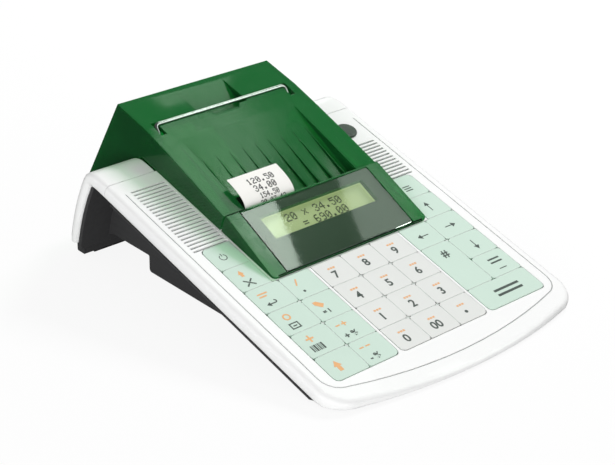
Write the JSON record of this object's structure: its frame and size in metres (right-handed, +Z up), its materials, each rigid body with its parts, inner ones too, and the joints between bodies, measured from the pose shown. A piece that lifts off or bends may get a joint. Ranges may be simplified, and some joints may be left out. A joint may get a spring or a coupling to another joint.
{
  "type": "ticket register",
  "caption": "Sloping-deck counter till with keypad, raised screen, ticket printer under a hinged green cover with a wire bail, and a dark base on rubber feet.",
  "frame": {"origin": "on the ground under the middle of the register's bounding box", "axes": "+X to the user's right, +Y from the user's side to the back, +Z up"},
  "size_m": [0.145, 0.2067, 0.0668],
  "materials": {
    "case_white": "smooth glossy white moulding",
    "base_dark": "fine-grained dark grey moulding",
    "foot_rubber": "soft black rubber",
    "cover_green": "polished dark green tinted plastic",
    "window_green": "polished dark green window, clear over the screen",
    "lcd_yellow": "yellow-green liquid crystal display with its frame",
    "key_mint": "satin pale mint key tops",
    "key_grey": "satin pale grey key tops",
    "mat_rubber": "grey silicone sheet",
    "board_green": "green printed circuit board",
    "frame_steel": "plated pressed steel",
    "bail_steel": "polished wire",
    "head_ceramic": "ceramic heater board",
    "platen_rubber": "smooth ground rubber",
    "gear_plastic": "natural acetal",
    "motor_steel": "drawn steel can",
    "paper_white": "smooth thermal paper",
    "battery_sleeve": "plain film sleeve over metal cells",
    "reader_black": "dark satin disc with a dished face",
    "socket_black": "black socket moulding"
  },
  "bodies": {
    "base": {"top_case": "case_white", "rear_shell": "case_white", "base_case": "base_dark", "front_foot_left": "foot_rubber", "front_foot_right": "foot_rubber", "rear_foot_left": "foot_rubber", "rear_foot_right": "foot_rubber", "display_housing": "cover_green", "display_window": "window_green", "lcd_panel": "lcd_yellow", "key_mat": "mat_rubber", "key_board": "board_green", "main_board": "board_green", "printer_frame": "frame_steel", "thermal_head": "head_ceramic", "stepper_motor": "motor_steel", "paper_web": "paper_white", "battery_pack": "battery_sleeve", "key_reader": "reader_black", "power_inlet": "socket_black", "data_port": "socket_black"},
    "cover": {"printer_cover": "cover_green", "ticket": "paper_white"},
    "bail": {"bail_handle": "bail_steel"},
    "platen": {"platen_roller": "platen_rubber", "platen_gear": "gear_plastic"},
    "idler": {"idler_gear": "gear_plastic"},
    "pinion": {"motor_pinion": "frame_steel"},
    "roll": {"paper_roll": "paper_white"},
    "battery_door": {"battery_door": "base_dark"},
    "key_shift": {"key_shift": "key_mint"},
    "key_barcode": {"key_barcode": "key_mint"},
    "key_drawer": {"key_drawer": "key_mint"},
    "key_return": {"key_return": "key_mint"},
    "key_clear": {"key_clear": "key_mint"},
    "key_power": {"key_power": "key_mint"},
    "key_discount": {"key_discount": "key_mint"},
    "key_markup": {"key_markup": "key_mint"},
    "key_price": {"key_price": "key_mint"},
    "key_function": {"key_function": "key_mint"},
    "key_total": {"key_total": "key_mint"},
    "key_lookup": {"key_lookup": "key_mint"},
    "key_left": {"key_left": "key_mint"},
    "key_subtotal": {"key_subtotal": "key_mint"},
    "key_down": {"key_down": "key_mint"},
    "key_right": {"key_right": "key_mint"},
    "key_up": {"key_up": "key_mint"},
    "key_menu": {"key_menu": "key_mint"},
    "key_0": {"key_0": "key_grey"},
    "key_00": {"key_00": "key_grey"},
    "key_point": {"key_point": "key_grey"},
    "key_1": {"key_1": "key_grey"},
    "key_2": {"key_2": "key_grey"},
    "key_3": {"key_3": "key_grey"},
    "key_4": {"key_4": "key_grey"},
    "key_5": {"key_5": "key_grey"},
    "key_6": {"key_6": "key_grey"},
    "key_7": {"key_7": "key_grey"},
    "key_8": {"key_8": "key_grey"},
    "key_9": {"key_9": "key_grey"}
  },
  "joints": [
    {"name": "cover_hinge", "type": "hinge", "parent": "base", "child": "cover", "pos_m": [0, 0.09648, 0.0295], "axis": [-1, 0, 0], "range_deg": [0, 70]},
    {"name": "bail_pivot", "type": "hinge", "parent": "cover", "child": "bail", "pos_m": [0, 0.06034, 0.05587], "axis": [1, 0, 0], "range_deg": [0, 55]},
    {"name": "platen_spin", "type": "hinge", "parent": "base", "child": "platen", "pos_m": [0, 0.01548, 0.0285], "axis": [1, 0, 0], "continuous": true},
    {"name": "idler_spin", "type": "hinge", "parent": "base", "child": "idler", "pos_m": [0, 0.02328, 0.024], "axis": [1, 0, 0], "continuous": true},
    {"name": "pinion_spin", "type": "hinge", "parent": "base", "child": "pinion", "pos_m": [0, 0.02825, 0.02818], "axis": [1, 0, 0], "continuous": true},
    {"name": "roll_spin", "type": "hinge", "parent": "base", "child": "roll", "pos_m": [0, 0.07198, 0.0325], "axis": [1, 0, 0], "continuous": true},
    {"name": "battery_door_slide", "type": "slide", "parent": "base", "child": "battery_door", "axis": [0, 1, 0], "range_m": [0, 0.03]},
    {"name": "key_shift_press", "type": "slide", "parent": "base", "child": "key_shift", "axis": [0, 0.2588, -0.9659], "range_m": [0, 0.001], "stiffness_N_per_m": 500},
    {"name": "key_barcode_press", "type": "slide", "parent": "base", "child": "key_barcode", "axis": [0, 0.2588, -0.9659], "range_m": [0, 0.001], "stiffness_N_per_m": 500},
    {"name": "key_drawer_press", "type": "slide", "parent": "base", "child": "key_drawer", "axis": [0, 0.2588, -0.9659], "range_m": [0, 0.001], "stiffness_N_per_m": 500},
    {"name": "key_return_press", "type": "slide", "parent": "base", "child": "key_return", "axis": [0, 0.2588, -0.9659], "range_m": [0, 0.001], "stiffness_N_per_m": 500},
    {"name": "key_clear_press", "type": "slide", "parent": "base", "child": "key_clear", "axis": [0, 0.2588, -0.9659], "range_m": [0, 0.001], "stiffness_N_per_m": 500},
    {"name": "key_power_press", "type": "slide", "parent": "base", "child": "key_power", "axis": [0, 0.2588, -0.9659], "range_m": [0, 0.001], "stiffness_N_per_m": 500},
    {"name": "key_discount_press", "type": "slide", "parent": "base", "child": "key_discount", "axis": [0, 0.2588, -0.9659], "range_m": [0, 0.001], "stiffness_N_per_m": 500},
    {"name": "key_markup_press", "type": "slide", "parent": "base", "child": "key_markup", "axis": [0, 0.2588, -0.9659], "range_m": [0, 0.001], "stiffness_N_per_m": 500},
    {"name": "key_price_press", "type": "slide", "parent": "base", "child": "key_price", "axis": [0, 0.2588, -0.9659], "range_m": [0, 0.001], "stiffness_N_per_m": 500},
    {"name": "key_function_press", "type": "slide", "parent": "base", "child": "key_function", "axis": [0, 0.2588, -0.9659], "range_m": [0, 0.001], "stiffness_N_per_m": 500},
    {"name": "key_total_press", "type": "slide", "parent": "base", "child": "key_total", "axis": [0, 0.2588, -0.9659], "range_m": [0, 0.001], "stiffness_N_per_m": 500},
    {"name": "key_lookup_press", "type": "slide", "parent": "base", "child": "key_lookup", "axis": [0, 0.2588, -0.9659], "range_m": [0, 0.001], "stiffness_N_per_m": 500},
    {"name": "key_left_press", "type": "slide", "parent": "base", "child": "key_left", "axis": [0, 0.2588, -0.9659], "range_m": [0, 0.001], "stiffness_N_per_m": 500},
    {"name": "key_subtotal_press", "type": "slide", "parent": "base", "child": "key_subtotal", "axis": [0, 0.2588, -0.9659], "range_m": [0, 0.001], "stiffness_N_per_m": 500},
    {"name": "key_down_press", "type": "slide", "parent": "base", "child": "key_down", "axis": [0, 0.2588, -0.9659], "range_m": [0, 0.001], "stiffness_N_per_m": 500},
    {"name": "key_right_press", "type": "slide", "parent": "base", "child": "key_right", "axis": [0, 0.2588, -0.9659], "range_m": [0, 0.001], "stiffness_N_per_m": 500},
    {"name": "key_up_press", "type": "slide", "parent": "base", "child": "key_up", "axis": [0, 0.2588, -0.9659], "range_m": [0, 0.001], "stiffness_N_per_m": 500},
    {"name": "key_menu_press", "type": "slide", "parent": "base", "child": "key_menu", "axis": [0, 0.2588, -0.9659], "range_m": [0, 0.001], "stiffness_N_per_m": 500},
    {"name": "key_0_press", "type": "slide", "parent": "base", "child": "key_0", "axis": [0, 0.2588, -0.9659], "range_m": [0, 0.001], "stiffness_N_per_m": 500},
    {"name": "key_00_press", "type": "slide", "parent": "base", "child": "key_00", "axis": [0, 0.2588, -0.9659], "range_m": [0, 0.001], "stiffness_N_per_m": 500},
    {"name": "key_point_press", "type": "slide", "parent": "base", "child": "key_point", "axis": [0, 0.2588, -0.9659], "range_m": [0, 0.001], "stiffness_N_per_m": 500},
    {"name": "key_1_press", "type": "slide", "parent": "base", "child": "key_1", "axis": [0, 0.2588, -0.9659], "range_m": [0, 0.001], "stiffness_N_per_m": 500},
    {"name": "key_2_press", "type": "slide", "parent": "base", "child": "key_2", "axis": [0, 0.2588, -0.9659], "range_m": [0, 0.001], "stiffness_N_per_m": 500},
    {"name": "key_3_press", "type": "slide", "parent": "base", "child": "key_3", "axis": [0, 0.2588, -0.9659], "range_m": [0, 0.001], "stiffness_N_per_m": 500},
    {"name": "key_4_press", "type": "slide", "parent": "base", "child": "key_4", "axis": [0, 0.2588, -0.9659], "range_m": [0, 0.001], "stiffness_N_per_m": 500},
    {"name": "key_5_press", "type": "slide", "parent": "base", "child": "key_5", "axis": [0, 0.2588, -0.9659], "range_m": [0, 0.001], "stiffness_N_per_m": 500},
    {"name": "key_6_press", "type": "slide", "parent": "base", "child": "key_6", "axis": [0, 0.2588, -0.9659], "range_m": [0, 0.001], "stiffness_N_per_m": 500},
    {"name": "key_7_press", "type": "slide", "parent": "base", "child": "key_7", "axis": [0, 0.2588, -0.9659], "range_m": [0, 0.001], "stiffness_N_per_m": 500},
    {"name": "key_8_press", "type": "slide", "parent": "base", "child": "key_8", "axis": [0, 0.2588, -0.9659], "range_m": [0, 0.001], "stiffness_N_per_m": 500},
    {"name": "key_9_press", "type": "slide", "parent": "base", "child": "key_9", "axis": [0, 0.2588, -0.9659], "range_m": [0, 0.001], "stiffness_N_per_m": 500}
  ],
  "couplings": [
    {"joint": "idler_spin", "follows": "platen_spin", "ratio": -1.25},
    {"joint": "pinion_spin", "follows": "platen_spin", "ratio": 2}
  ]
}
